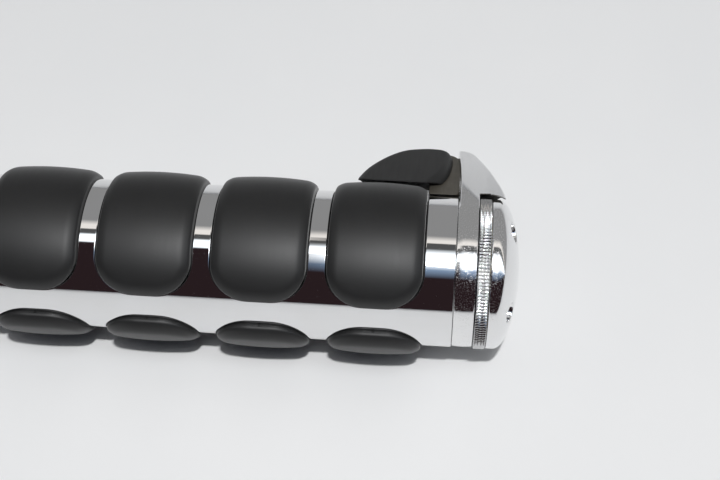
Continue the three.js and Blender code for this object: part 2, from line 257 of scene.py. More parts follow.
def smin(a, b, k):
    return -smax(-a, -b, k)


def skinned(field, low, high, step):
    """The surface where field(points) is 0, as quads, with vertices pulled onto it and exact normals."""
    axes = [np.arange(a - 1.5 * step, b + 2 * step, step) for a, b in zip(low, high)]
    shape = tuple(len(a) for a in axes)
    value = np.empty(shape)
    for i, x in enumerate(axes[0]):
        yy, zz = np.meshgrid(axes[1], axes[2], indexing="ij")
        value[i] = field(np.stack([np.full_like(yy, x), yy, zz], -1))
    inside = value < 0
    corners = [(i, j, k) for i in (0, 1) for j in (0, 1) for k in (0, 1)]
    cells = tuple(n - 1 for n in shape)

    def part(offset):
        return tuple(slice(o, o + n) for o, n in zip(offset, cells))
    count = sum(inside[part(c)].astype(np.int8) for c in corners)
    active = np.argwhere((count > 0) & (count < 8))
    index = np.full(cells, -1, np.int64)
    index[tuple(active.T)] = np.arange(len(active))
    total = np.zeros((len(active), 3))
    crossings = np.zeros(len(active))
    for a in corners:
        for axis in range(3):
            if a[axis] == 0:
                b = tuple(1 if i == axis else a[i] for i in range(3))
                va = value[tuple((active + a).T)]
                vb = value[tuple((active + b).T)]
                hit = (va < 0) != (vb < 0)
                t = np.where(hit, va / np.where(hit, va - vb, 1), 0)
                total[hit] += (np.array(a) + t[:, None] * (np.array(b) - np.array(a)))[hit]
                crossings += hit
    points = (active + total / crossings[:, None]) * step + np.array([a[0] for a in axes])

    def slope(p):
        h = 0.02
        return np.stack([(field(p + np.eye(3)[i] * h) - field(p - np.eye(3)[i] * h)) / (2 * h)
                         for i in range(3)], -1)
    for _ in range(3):
        g = slope(points)
        move = field(points)[:, None] * g / np.maximum((g * g).sum(-1, keepdims=True), 0.05)
        points = points - np.clip(move, -0.4 * step, 0.4 * step)
    normals = unit(slope(points))
    faces = []
    for axis in range(3):
        u, v = (axis + 1) % 3, (axis + 2) % 3
        lower = [slice(0, n) for n in shape]
        upper = [slice(0, n) for n in shape]
        lower[axis], upper[axis] = slice(0, shape[axis] - 1), slice(1, shape[axis])
        a, b = inside[tuple(lower)], inside[tuple(upper)]
        for change, flip in ((a & ~b, False), (~a & b, True)):
            at = np.argwhere(change)
            at = at[(at[:, u] > 0) & (at[:, v] > 0) & (at[:, u] < shape[u] - 1) & (at[:, v] < shape[v] - 1)]
            around_edge = []
            for du, dv in ((-1, -1), (0, -1), (0, 0), (-1, 0)):
                cell = at.copy()
                cell[:, u] += du
                cell[:, v] += dv
                around_edge.append(index[tuple(cell.T)])
            quads = np.stack(around_edge[::-1] if flip else around_edge, -1)
            faces.append(quads[(quads >= 0).all(1)])
    return points, np.concatenate(faces).tolist(), normals


def inside_outline(outline):
    """A field over two coordinates: minus the distance to a closed outline inside it, plus outside."""
    ring = np.asarray(outline, float)
    nxt = np.roll(ring, -1, axis=0)

    def field(u, v):
        best = np.full(u.shape, 1e9)
        odd = np.zeros(u.shape, bool)
        for (ax, ay), (bx, by) in zip(ring, nxt):
            dx, dy = bx - ax, by - ay
            t = np.clip(((u - ax) * dx + (v - ay) * dy) / (dx * dx + dy * dy), 0, 1)
            best = np.minimum(best, (u - ax - t * dx) ** 2 + (v - ay - t * dy) ** 2)
            if dy != 0:
                odd ^= ((ay > v) != (by > v)) & (u < ax + (v - ay) * dx / dy)
        return np.where(odd, -1, 1) * np.sqrt(best)
    return field


def rounded_curve(points, per_span=6):
    """A smooth closed curve through points, a Catmull-Rom spline."""
    p = np.asarray(points, float)
    result = []
    for i in range(len(p)):
        p0, p1, p2, p3 = p[i - 1], p[i], p[(i + 1) % len(p)], p[(i + 2) % len(p)]
        for k in range(per_span):
            t = k / per_span
            result.append(0.5 * (2 * p1 + (p2 - p0) * t + (2 * p0 - 5 * p1 + 4 * p2 - p3) * t * t
                                 + (3 * p1 - p0 - 3 * p2 + p3) * t ** 3))
    return np.array(result)


# --- Finishes ---------------------------------------------------------------------------------------

def finish_material(name, metallic):
    """A new material. Returns it with its node tree and shader."""
    material = bpy.data.materials.new(name)
    material.use_nodes = True
    tree = material.node_tree
    shader = tree.nodes["Principled BSDF"]
    shader.inputs["Metallic"].default_value = metallic
    return material, tree, shader


def noise(tree, scale, detail=4.0, roughness=0.5, stretch=(1, 1, 1)):
    """Noise over object coordinates in metres. scale is cells per metre."""
    where = tree.nodes.new("ShaderNodeTexCoord")
    mapping = tree.nodes.new("ShaderNodeMapping")
    mapping.inputs["Scale"].default_value = stretch
    texture = tree.nodes.new("ShaderNodeTexNoise")
    texture.inputs["Scale"].default_value = scale
    texture.inputs["Detail"].default_value = detail
    texture.inputs["Roughness"].default_value = roughness
    tree.links.new(where.outputs["Object"], mapping.inputs["Vector"])
    tree.links.new(mapping.outputs["Vector"], texture.inputs["Vector"])
    return texture.outputs["Fac"]


def ramp(tree, source, stops):
    """Maps a 0 to 1 value through colour stops [(position, colour)]."""
    node = tree.nodes.new("ShaderNodeValToRGB")
    elements = node.color_ramp.elements
    while len(elements) < len(stops):
        elements.new(0.5)
    for element, (position, colour) in zip(elements, stops):
        element.position = position
        element.color = (*colour, 1) if len(colour) == 3 else colour
    tree.links.new(source, node.inputs["Fac"])
    return node.outputs["Color"]


def grey(value):
    return (value, value, value)


def mixed(tree, factor, a, b):
    """a where factor is 0, b where it is 1. Each of a and b is a socket."""
    node = tree.nodes.new("ShaderNodeMix")
    node.data_type = "RGBA"
    tree.links.new(factor, node.inputs["Factor"])
    tree.links.new(a, node.inputs["A"])
    tree.links.new(b, node.inputs["B"])
    return node.outputs["Result"]


def bumped(tree, shader, height, strength, distance):
    node = tree.nodes.new("ShaderNodeBump")
    node.inputs["Strength"].default_value = strength
    node.inputs["Distance"].default_value = distance
    tree.links.new(height, node.inputs["Height"])
    tree.links.new(node.outputs["Normal"], shader.inputs["Normal"])


def chrome_material(name, base, roughness, speckle, rarity):
    """Polished plate with faint haze and tiny pits that scatter light."""
    material, tree, shader = finish_material(name, 1.0)
    haze = noise(tree, 90, 5)
    pits = noise(tree, 4800, 2, 0.6)
    marks = ramp(tree, pits, [(0.0, grey(0.0)), (rarity, grey(0.0)), (rarity + 0.06, grey(1.0))])
    clean = ramp(tree, haze, [(0.3, grey(base * 0.97)), (0.7, (base, base * 1.005, base * 1.015))])
    dirty = ramp(tree, haze, [(0.0, grey(base * (1 - speckle))), (1.0, grey(base * (1 - 0.8 * speckle)))])
    tree.links.new(mixed(tree, marks, clean, dirty), shader.inputs["Base Color"])
    smooth = ramp(tree, haze, [(0.3, grey(roughness)), (0.75, grey(roughness * 1.8))])
    rough = ramp(tree, haze, [(0.0, grey(roughness + 0.22)), (1.0, grey(roughness + 0.32))])
    tree.links.new(mixed(tree, marks, smooth, rough), shader.inputs["Roughness"])
    return material


def rubber_material(name, base, roughness, streak, sheen=0.0, tint=(1.0, 1.0, 1.02), ior=1.5):
    """Moulded rubber: satin and finely grained, with streaks round the grip and a little dust."""
    material, tree, shader = finish_material(name, 0.0)
    cloud = noise(tree, 160, 6, 0.6)
    streaks = noise(tree, 1500, 3, 0.5, stretch=(1.0, 0.08, 0.08))
    specks = noise(tree, 2400, 2, 0.5)
    dark = tuple(0.8 * base * c for c in tint)
    light = tuple(1.25 * base * c for c in tint)
    body = ramp(tree, cloud, [(0.3, dark), (0.7, light)])
    dust = ramp(tree, specks, [(0.0, grey(0.0)), (0.70, grey(0.0)), (0.76, grey(0.5))])
    pale = ramp(tree, cloud, [(0.0, grey(base * 3)), (1.0, grey(base * 5))])
    tree.links.new(mixed(tree, dust, body, pale), shader.inputs["Base Color"])
    tree.links.new(ramp(tree, streaks, [(0.3, grey(roughness - streak)), (0.7, grey(roughness + streak))]),
                   shader.inputs["Roughness"])
    shader.inputs["IOR"].default_value = ior
    shader.inputs["Sheen Weight"].default_value = sheen
    shader.inputs["Sheen Roughness"].default_value = 0.3
    bumped(tree, shader, noise(tree, 3200, 2, 0.6), 0.22, 0.00004)
    return material


def metal_material(name, colour, roughness, stretch):
    """Turned or plated metal with fine tool marks."""
    material, tree, shader = finish_material(name, 1.0)
    marks = noise(tree, 3000, 3, 0.5, stretch=stretch)
    cloud = noise(tree, 120, 4)
    low = tuple(c * 0.85 for c in colour)
    tree.links.new(ramp(tree, cloud, [(0.3, low), (0.7, colour)]), shader.inputs["Base Color"])
    tree.links.new(ramp(tree, marks, [(0.3, grey(roughness - 0.08)), (0.7, grey(roughness + 0.1))]),
                   shader.inputs["Roughness"])
    bumped(tree, shader, marks, 0.15, 0.00003)
    return material


CHROME = chrome_material("chrome_plate", 0.8, 0.02, 0.1, 0.7)
CHROME_CAP = chrome_material("chrome_plate_cap", 0.85, 0.04, 0.12, 0.58)
# The knurl's plate is darker than the other chrome: painted shade for its grooves.
CHROME_KNURL_PAINTED_SHADE = chrome_material("chrome_knurl_painted_shade", 0.62, 0.06, 0.3, 0.62)
# A dark dull brown finish for the pad's seat and the arm's faces close to the shell; on the hood's underside
# it is painted shade.
DARK_SEAT_AND_PAINTED_SHADE = rubber_material("dark_seat_and_painted_shade", 0.055, 0.55, 0.05, 0.0, (1.0, 0.9, 0.72))
PAD_RUBBER = rubber_material("pad_rubber", 0.006, 0.52, 0.01, 0.2, (1.0, 1.0, 1.03), 1.5)
PALM_RUBBER = rubber_material("palm_pad_rubber", 0.009, 0.55, 0.02, 0.0, (1.0, 1.0, 1.0), 1.42)
PLAIN_RUBBER = rubber_material("sleeve_rubber", 0.018, 0.6, 0.06)
PLASTIC = rubber_material("tube_nylon", 0.02, 0.42, 0.05)
ALLOY = metal_material("hub_alloy", (0.62, 0.63, 0.65), 0.32, (1.0, 0.05, 0.05))
BRASS = metal_material("insert_brass", (0.72, 0.52, 0.22), 0.3, (1.0, 0.05, 0.05))
STEEL = metal_material("zinc_steel", (0.5, 0.51, 0.53), 0.34, (1.0, 1.0, 1.0))


# --- Shell with windows -----------------------------------------------------------------------------

CORE_U = PAD_HALF_WIDTH - PAD_CORNER_R
CORE_S = SHELL_R * PAD_HALF_WRAP - PAD_CORNER_R


def window_cell():
    """One pitch by half a turn of the shell round a window, as (u, s, radius) with its normals."""
    half_u = PAD_PITCH / 2
    half_s = SHELL_R * math.pi / 2
    nu, ns = 26, 108
    u = np.linspace(-half_u, half_u, nu + 1)
    s = np.linspace(-half_s, half_s, ns + 1)
    edge = np.concatenate([
        np.stack([u[:-1], np.full(nu, -half_s)], -1), np.stack([np.full(ns, half_u), s[:-1]], -1),
        np.stack([u[:0:-1], np.full(nu, half_s)], -1), np.stack([np.full(ns, -half_u), s[:0:-1]], -1)])
    core = np.clip(edge, [-CORE_U, -CORE_S], [CORE_U, CORE_S])
    direction = unit(edge - core)
    wall = PAD_CORNER_R + WINDOW_MARGIN
    rim = 0.36
    rings = []
    for t in (1.0, 0.75, 0.5, 0.25, 0.08, 0.0):
        start = core + (wall + rim) * direction
        rings.append((start * (1 - t) + edge * t, SHELL_R, 0.0))
    for turn in (18, 36, 54, 72, 90):
        a = math.radians(turn)
        outwards = wall + rim * (1 - math.sin(a))
        rings.append((core + outwards * direction, SHELL_R - rim * (1 - math.cos(a)), a))
    rings.append((core + wall * direction, SHELL_INNER_R, math.pi / 2))
    for t in (0.0, 0.5, 1.0):
        start = core + wall * direction
        rings.append((start * (1 - t) + edge * t, SHELL_INNER_R, math.pi))
    points, normals = [], []
    for flat, radius, a in rings:
        points.append(np.column_stack([flat, np.full(len(flat), radius)]))
        normals.append(np.column_stack([-direction * math.sin(a), np.full(len(flat), math.cos(a))]))
    faces = grid_faces(len(rings), len(edge), wrap=True)
    return np.concatenate(points), np.concatenate(normals), faces


def wrapped(flat, normals, centre_x, row_angle):
    """Bends (u, s, radius) points round the grip."""
    angle = row_angle + flat[:, 1] / SHELL_R
    points = around(centre_x + flat[:, 0], flat[:, 2], angle)
    radial = around(0.0, 1.0, angle)
    tangent = np.column_stack([np.zeros(len(angle)), np.sin(angle), np.cos(angle)])
    along = np.array([1.0, 0, 0])
    bent = normals[:, :1] * along + normals[:, 1:2] * tangent + normals[:, 2:] * radial
    return points, bent


def make_shell():
    flat, normals, faces = window_cell()
    all_points, all_normals, all_faces = [], [], []
    for row_angle in ROW_ANGLES.values():
        for centre_x in PAD_CENTRES:
            points, bent = wrapped(flat, normals, centre_x, row_angle)
            start = sum(len(p) for p in all_points)
            all_points.append(points)
            all_normals.append(bent)
            all_faces += [tuple(start + i for i in reversed(f)) for f in faces]
    angles = ROW_ANGLES["upper"] + np.linspace(-math.pi / 2, 1.5 * math.pi, 216, endpoint=False)
    soft = 0.1
    for inboard, end_x, cell_x in ((True, SHELL_IN_X, PAD_CENTRES[0] - PAD_PITCH / 2),
                                   (False, SHELL_OUT_X, PAD_CENTRES[3] + PAD_PITCH / 2)):
        sign = -1 if inboard else 1
        profile = [(cell_x + (end_x - sign * soft - cell_x) * t, SHELL_R, 0.0) for t in (0, 0.33, 0.66, 1)]
        for turn in (22.5, 45, 67.5, 90):
            a = math.radians(turn)
            profile.append((end_x - sign * soft * (1 - math.sin(a)), SHELL_R - soft * (1 - math.cos(a)), a))
        profile += [(end_x, SHELL_INNER_R, math.pi / 2), (end_x, SHELL_INNER_R, math.pi),
                    (cell_x, SHELL_INNER_R, math.pi)]
        ring_points, ring_normals = [], []
        for x, radius, a in profile:
            ring_points.append(around(x, radius, angles))
            radial = around(0.0, 1.0, angles)
            ring_normals.append(radial * math.cos(a) + np.array([sign * math.sin(a), 0, 0]))
        start = sum(len(p) for p in all_points)
        strip = grid_faces(len(profile), len(angles), start, wrap=True)
        all_points.append(np.concatenate(ring_points))
        all_normals.append(np.concatenate(ring_normals))
        all_faces += strip if inboard else [tuple(reversed(f)) for f in strip]
    points, faces, normals = weld(np.concatenate(all_points), all_faces, np.concatenate(all_normals))
    faces = turned_to(points, faces, normals)
    piece("grip_shell_chrome", points, faces, CHROME, "grip", ["grip_shell"], normals)


# --- Pads -------------------------------------------------------------------------------------------

def pad_stations():
    """Distances from the pad's middle along its wrap, close together round the corners."""
    half = SHELL_R * PAD_HALF_WRAP
    corner = [half - PAD_CORNER_R * (1 - math.cos(math.radians(a))) for a in np.linspace(0, 90, 27)]
    middle = np.linspace(-CORE_S, CORE_S, 64)
    return np.array([-s for s in corner[:-1]] + list(middle) + corner[:-1][::-1])


def pad_height(u, s, crown_r):
    """Radius of a pad's outer surface. It falls away towards the pad's edge."""
    core_u = np.clip(u, -CORE_U, CORE_U)
    core_s = np.clip(s, -CORE_S, CORE_S)
    away = np.hypot(u - core_u, s - core_s)
    depth = np.clip(PAD_CORNER_R - away, 0, None)
    endwise = np.where(away > 1e-9, ((s - core_s) / np.maximum(away, 1e-9)) ** 2, 0)
    reach = 2.4 + 1.0 * endwise
    fall = 0.8 + 0.55 * endwise
    drop = fall * np.clip(1 - depth / reach, 0, 1) ** 2
    lip = 0.4
    drop = drop + lip * (1 - np.sqrt(1 - np.clip(1 - depth / lip, 0, 1) ** 2))
    return crown_r - 0.0064 * u ** 2 - drop


def make_pad(row, number):
    row_angle = ROW_ANGLES[row]
    crown_r = PAD_CROWN_R + (0.02 if number > 2 else -0.08)
    edge_steps = np.array([0, 0.02, 0.07, 0.15, 0.27, 0.4, 0.65, 1.0, 1.45, 1.9, 2.5])
    stations = pad_stations()
    rows = []
    for s in stations:
        into = max(0.0, abs(s) - CORE_S)
        half = CORE_U + math.sqrt(max(PAD_CORNER_R ** 2 - into ** 2, 0))
        middle = np.linspace(-(half - 2.5), half - 2.5, 17)[1:-1]
        rows.append(np.concatenate([-(half - edge_steps), middle, (half - edge_steps)[::-1]]))
    u = np.array(rows)
    s = np.repeat(stations[:, None], u.shape[1], 1)
    radius = pad_height(u, s, crown_r)
    count_rows, count_columns = u.shape
    top = np.stack([u, s, radius], -1).reshape(-1, 3)
    bottom = np.stack([u, s, np.full(u.shape, PAD_BASE_R)], -1).reshape(-1, 3)
    faces = grid_faces(count_rows, count_columns)
    below = [tuple(len(top) + i for i in reversed(f)) for f in faces]
    last = (count_rows - 1) * count_columns
    border = (list(range(count_columns))
              + [r * count_columns + count_columns - 1 for r in range(1, count_rows)]
              + [last + c for c in range(count_columns - 2, -1, -1)]
              + [r * count_columns for r in range(count_rows - 2, 0, -1)])
    sides = [(b, a, len(top) + a, len(top) + b) for a, b in zip(border[-1:] + border[:-1], border)]
    flat = np.concatenate([top, bottom])
    points, _ = wrapped(flat, np.zeros_like(flat), PAD_CENTRES[number - 1], row_angle)
    floor_z = -AXIS_Z / MM + 0.01
    points[:, 2] = np.maximum(points[:, 2], floor_z)
    points, faces, _ = weld(points, faces + below + sides)
    points, faces = oriented(points, faces)
    piece(f"{row}_pad_{number}", points, faces, PAD_RUBBER, "grip", [f"grip_pad_{row}_{number}"])


# --- Inner pieces -----------------------------------------------------------------------------------

def make_tube_and_sleeve():
    flange = SHELL_IN_X - 0.3
    points, faces = turned([(flange - 1.5, SHELL_R), (flange, SHELL_R), (flange, 15.2), (TUBE_OUT_X, 15.2),
                            (TUBE_OUT_X, 14.5), (flange - 1.5, 14.5)], 0.35)
    piece("isolator_rubber", points, faces, PLAIN_RUBBER, "grip", ["isolator_sleeve"])
    drum = flange - 1.8
    points, faces = turned([(TUBE_IN_X, 15), (drum - 6.8, 15), (drum - 6.8, 18.4), (drum - 5, 18.4),
                            (drum - 5, 16.2), (drum - 1.8, 16.2), (drum - 1.8, 18.4), (drum, 18.4),
                            (drum, 14.2), (TUBE_OUT_X, 14.2), (TUBE_OUT_X, BORE_R), (TUBE_IN_X, BORE_R)], 0.3)
    piece("throttle_tube_nylon", points, faces, PLASTIC, "grip", ["throttle_tube"])


def hub_field(p):
    """The hub: a plug inside the tube, a flange, a journal for the collar and a spigot with two flats."""
    x, r = p[..., 0], np.hypot(p[..., 1], p[..., 2])
    plug = smax(np.abs(x + 8.65) - 7.35, r - 12.65, 0.4)
    flange = smax(np.abs(x + 1.075) - 0.925, r - 15.2, 0.3)
    journal = smax(np.abs(x - 0.4) - 1.9, r - 12, 0.4)
    turn = np.arctan2(p[..., 2], p[..., 1])
    thread = 9.35 + 0.28 * (2 * np.abs((x / THREAD_PITCH - turn / (2 * math.pi)) % 1 - 0.5) - 0.5)
    spigot = smax(smax(x - 10.6, -x, 0.3), smax(r - thread, np.abs(p[..., 1]) - 8.7, 0.25), 0.3)
    relief = smax(r - 6, -(x + 16.5), 0.2)
    body = np.minimum(np.minimum(plug, flange), np.minimum(journal, spigot))
    body = smax(body, -smax(relief, x + 6.0, 0.3), 0.3)
    for a in HUB_SCREW_ANGLES:
        along = -p[..., 1] * math.cos(a) + p[..., 2] * math.sin(a)
        across = p[..., 1] * math.sin(a) + p[..., 2] * math.cos(a)
        hole = np.maximum(np.hypot(x - HUB_SCREW_X, across) - 1.55, 7 - along)
        body = np.maximum(body, -hole)
    return body


def hexagon(u, v, half_width):
    """A field of a hexagon, with its flats half_width from its middle."""
    return np.maximum(np.abs(u), 0.5 * np.abs(u) + 0.866 * np.abs(v)) - half_width


def hub_screw_field(axis, side):
    def field(p):
        along = p @ axis
        u, v = p[..., 0] - HUB_SCREW_X, p @ side
        socket = smax(hexagon(u, v, 0.65), 13.2 - along, 0.1)
        return smax(smax(np.hypot(u, v) - 1.25, np.abs(along - 10.8) - 3.4, 0.25), -socket, 0.12)
    return field


def make_hub():
    points, faces, normals = skinned(hub_field, (-16, -15.2, -15.2), (10.6, 15.2, 15.2), 0.3)
    piece("end_hub_alloy", points, faces, ALLOY, "grip", ["end_hub"], normals)
    for number, a in enumerate(HUB_SCREW_ANGLES, 1):
        axis = around(0.0, 1.0, a)
        side = np.array([0, math.sin(a), math.cos(a)])
        middle = np.array([HUB_SCREW_X, 0, 0]) + axis * 10.8
        reach = np.abs(axis) * 3.4 + 1.3
        points, faces, normals = skinned(hub_screw_field(axis, side), middle - reach, middle + reach, 0.12)
        piece(f"hub_set_screw_{number}", points, faces, STEEL, "grip", [f"hub_screw_{number}"],
              normals)


def washer_field(p):
    r = np.hypot(p[..., 1], p[..., 2])
    bore = smax(r - 9.8, np.abs(p[..., 1]) - 9.0, 0.2)
    return smax(smax(np.abs(p[..., 0] - 3.45) - 0.55, r - 14.1, 0.3), -bore, 0.3)


def make_washer_and_cap_inside():
    points, faces, normals = skinned(washer_field, (2.9, -14.1, -14.1), (4.0, 14.1, 14.1), 0.22)
    piece("thrust_washer_steel", points, faces, STEEL, "thrust_washer", ["thrust_washer"],
          normals)
    round_section = [(5 + 0.65 * math.cos(a), 12 + 0.65 * math.sin(a))
                     for a in np.linspace(0, 2 * math.pi, 20, endpoint=False)]
    points, faces = turned(round_section, 0.01)
    piece("cap_o_ring_rubber", points, faces, PLAIN_RUBBER, "end_cap", ["cap_o_ring"])
    points, faces = turned([(6, 9.8), (6, 13.6), (10.1, 13.6), (10.1, 9.8)], 0.3)
    piece("cap_insert_brass", points, faces, BRASS, "end_cap", ["cap_insert"])


# --- End cap ----------------------------------------------------------------------------------------

def make_knurl():
    """A straight knurl with wavy ridges, with a plain bevel at each side."""
    teeth = 140
    wave = 1.37
    segments = teeth * 8
    angles = np.linspace(0, 2 * math.pi, segments, endpoint=False)
    lead = KNURL_OUT_X - KNURL_IN_X
    rows = np.linspace(0, 1, 37)
    x = KNURL_IN_X + rows * lead
    phase = angles * teeth / (2 * math.pi)
    zigzag = 0.3 * np.abs(2 * ((x - KNURL_IN_X) / wave % 1) - 1)
    height = 1 - 2 * np.abs((phase[None, :] + zigzag[:, None]) % 1 - 0.5)
    depth = 0.36 * height * (1 - 0.25 * np.cos(2 * math.pi * (x - KNURL_IN_X) / wave)[:, None] ** 2)
    ends = np.minimum(rows, 1 - rows) * lead
    bevel = 0.22 * (1 - np.clip(ends / 0.2, 0, 1)) ** 1.5
    outer = SHELL_R - 0.28 + depth - bevel[:, None]
    points = [around(x[:, None], outer, angles[None, :]).reshape(-1, 3)]
    points += [around(KNURL_OUT_X, CAVITY_R, angles), around(KNURL_IN_X, CAVITY_R, angles),
               points[0][:segments]]
    points = np.concatenate(points)
    faces = grid_faces(len(rows) + 3, segments, wrap=True)
    points, faces, _ = weld(points, faces)
    points, faces = oriented(points, faces)
    # The knurl's darker plate is painted shade for its grooves.
    piece("cap_knurl", points, faces, CHROME_KNURL_PAINTED_SHADE, "end_cap", ["knurled_ring"])


def dome_field(p):
    """The cap: a short straight rim, an elliptical dome and four blind spanner holes, hollow behind."""
    x, r = p[..., 0], np.hypot(p[..., 1], p[..., 2])
    bulge = CAP_TIP_X - DOME_RIM_X
    xe = np.maximum(x - DOME_RIM_X, 0) / bulge
    level = np.sqrt(xe ** 2 + (r / DOME_R) ** 2 + 1e-9)
    gradient = np.sqrt((xe / bulge) ** 2 + (r / DOME_R ** 2) ** 2 + 1e-12) / level
    dome = (level - 1) / gradient
    shape = smax(dome, DOME_IN_X - x, 0.35)
    cavity = np.minimum(np.maximum(r - CAVITY_R, x - 10.4), np.maximum(r - 10.2, x - 11.2))
    shape = smax(shape, -cavity, 0.2)
    for a in SPANNER_HOLE_ANGLES:
        away = np.hypot(p[..., 1] + 12.4 * math.cos(a), p[..., 2] - 12.4 * math.sin(a))
        hole = smax(away - 2.3, 11.25 + 0.25 * away - x, 0.2)
        shape = smax(shape, -hole, 0.3)
    return shape


def make_dome():
    points, faces, normals = skinned(dome_field, (DOME_IN_X, -17, -17), (CAP_TIP_X, 17, 17), 0.2)
    piece("cap_dome_chrome", points, faces, CHROME_CAP, "end_cap", ["cap_dome"], normals)


# --- Palm rest --------------------------------------------------------------------------------------

UP = around(0.0, 1.0, WING_ANGLE)
BACK = around(0.0, 1.0, WING_ANGLE + math.pi / 2)

# Outlines seen along the wing's up, as (x, back): the hood, the palm pad's leaf and the arm under it.
HOOD = inside_outline([(0.3, -0.5), (0.35, 4.6), (0.4, 12.8), (0.25, 18), (0.1, 21.8), (-0.1, 24.5),
                       (-0.3, 26.3), (-0.3, 27.3), (0.3, 27.8), (1.4, 27.7), (2.5, 27.3), (3.6, 26.2),
                       (4.9, 23.7), (6.1, 21.3), (7.1, 18.8), (7.9, 16.3), (8.7, 13.7), (9.5, 11.1),
                       (10.1, 8.4), (10.6, 5.6), (10.9, 2.5), (11.0, -0.5)])
LEAF = inside_outline(rounded_curve([(-2.9, 24.8), (-3.9, 26.4), (-6, 26.9), (-8.9, 26.7),
                                     (-12.9, 25.4), (-16.3, 22.3), (-19.6, 17.5), (-21.7, 12.7),
                                     (-22.8, 7.1), (-21.6, 2.5), (-14, 1.5), (-9, 4.5),
                                     (-6.7, 8.7), (-4.5, 13.2), (-3.4, 16.7), (-2.9, 20.6)]))
ARM = inside_outline(rounded_curve([(0.5, 12), (0.5, 20), (0.2, 25), (-1.2, 27.7), (-4, 28.6), (-9, 28.6),
                                    (-13.8, 27.2), (-17.6, 23.8), (-21.2, 18.4), (-23.5, 13.0), (-24.3, 7.2),
                                    (-22.5, 2.0), (-12, 1.0), (-2, 5)]))


def on_wing(p):
    """Grip coordinates to (x, back, up) of the wing."""
    return p[..., 0], p @ BACK, p @ UP


def hood_inner_radius(x):
    """The room that the hood leaves for the cap, which narrows with the dome."""
    return 17.95 - 0.035 * np.clip(x - 6, 0, None) ** 2


def bracket_field(p):
    """The collar round the hub, the hood that stands up from it over the cap, and the palm pad's arm."""
    x, back, up = on_wing(p)
    r = np.hypot(back, up)
    middle = (COLLAR_IN_X + COLLAR_OUT_X) / 2
    crown = 16.78 - 0.022 * (x - middle) ** 2
    collar = smax(np.abs(x - middle) - (COLLAR_OUT_X - middle), r - crown, 0.3)
    span = np.clip(15 - 2.1 * x, 1.5, 15)
    rise = np.clip(back + 1.46, 0, span)
    top = 16.716 + 0.0875 * (rise - rise ** 3 / (3 * span ** 2))
    under = 0.8507 * back - 0.5256 * up - 17
    profile = smax(smax(up - top, under, 0.5), back - 28.0, 1.0)
    hood = smax(profile, HOOD(x, back), 0.45)
    hood = np.maximum(hood, -0.5 - back)
    hood = np.maximum(hood, -0.787 * (back + 0.4) - 0.617 * (up - 10))
    body = smin(collar, hood, 0.35)
    arm = smax(smax(up - 15.9, 11.5 - up, 0.4), ARM(x, back), 0.5)
    arm = np.maximum(arm, x - 1.5)
    body = smin(body, arm, 0.3)
    body = smax(body, np.minimum(hood_inner_radius(x) - r, x - COLLAR_OUT_X), 0.25)
    body = np.maximum(body, -np.maximum(r - 21.0, x + 6.75))
    body = np.maximum(body, -np.maximum(r - 17.4, x - COLLAR_IN_X))
    body = smax(body, -np.minimum(r - 12.3, np.maximum(r - 14.4, 2.6 - x)), 0.15)
    for sx, sb in PALM_SCREWS:
        away = np.hypot(x - sx, back - sb)
        body = smax(body, -np.minimum(away - 1.55, np.maximum(away - 2.5, up - 13.1)), 0.15)
    return body


def bracket_dark_and_shaded_faces(middles):
    """The faces made dark, dull and brown: the pad's seat and the arm's faces close to the shell, and the
    hood's underside, where the dark is painted shade.
    """
    x, back, up = on_wing(middles)
    r = np.hypot(back, up)
    seat = (x < 0.2) & (up < 16.2) & (up > 14.5) & (back > 3)
    near_edge = (x < 0.1) & (up > 8) & (r < 21.15) & (back > 3)
    under_hood = (x > COLLAR_OUT_X + 0.1) & (r < hood_inner_radius(x) + 0.15) & (back > 0)
    return seat | near_edge | under_hood


def palm_pad_field(p):
    """The crowned leaf with a skirt down its outer side."""
    x, back, up = on_wing(p)
    r = np.hypot(back, up)
    edge = LEAF(x, back) - 1.15 + 0.5 * np.clip(up - 16.2, 0, None)
    crown = 18.25 - 0.0008 * ((x + 11) ** 2 + (back - 16) ** 2)
    shape = smax(edge, up - crown, 1.3)
    shape = smax(shape, 16.2 - up, 0.1)
    skirt = smax(np.maximum(smax(r - 20.8, 13.4 - up, 0.2), x + 6.5), LEAF(x, back) - 0.8, 0.3)
    skirt = np.maximum(skirt, up - 16.6)
    shape = smin(shape, skirt, 0.1)
    return smax(shape, 19.85 - r, 0.4)


def palm_screw_field(sx, sb):
    def field(p):
        x, back, up = on_wing(p)
        away = np.hypot(x - sx, back - sb)
        head = smax(away - 2.2, np.abs(up - 12.2) - 0.6, 0.25)
        shank = np.maximum(away - 1.25, np.abs(up - 14.6) - 2.4)
        socket = smax(hexagon(x - sx, back - sb, 0.95), up - 12.25, 0.1)
        return smax(np.minimum(head, shank), -socket, 0.1)
    return field


def make_palm_rest():
    points, faces, normals = skinned(bracket_field, (-24.5, -17.2, -17.2), (11.1, 33.0, 17.2), 0.22)
    # Dark dull brown on the seat and the arm's faces by the shell; on the hood's underside that dark is
    # painted shade.
    piece("palm_rest_chrome", points, faces, CHROME_CAP, "palm_rest", ["palm_rest_bracket"],
          normals, (DARK_SEAT_AND_PAINTED_SHADE, bracket_dark_and_shaded_faces))
    points, faces, normals = skinned(palm_pad_field, (-24.5, 14, -1), (-1, 34, 15), 0.2)
    piece("palm_pad_rubber", points, faces, PALM_RUBBER, "palm_rest", ["palm_rest_pad"],
          normals)
    for number, (sx, sb) in enumerate(PALM_SCREWS, 1):
        middle = np.array([sx, 0, 0]) + BACK * sb + UP * 14.3
        points, faces, normals = skinned(palm_screw_field(sx, sb), middle - 4, middle + 4, 0.14)
        piece(f"palm_screw_{number}", points, faces, STEEL, "palm_rest", [f"palm_rest_screw_{number}"],
              normals)


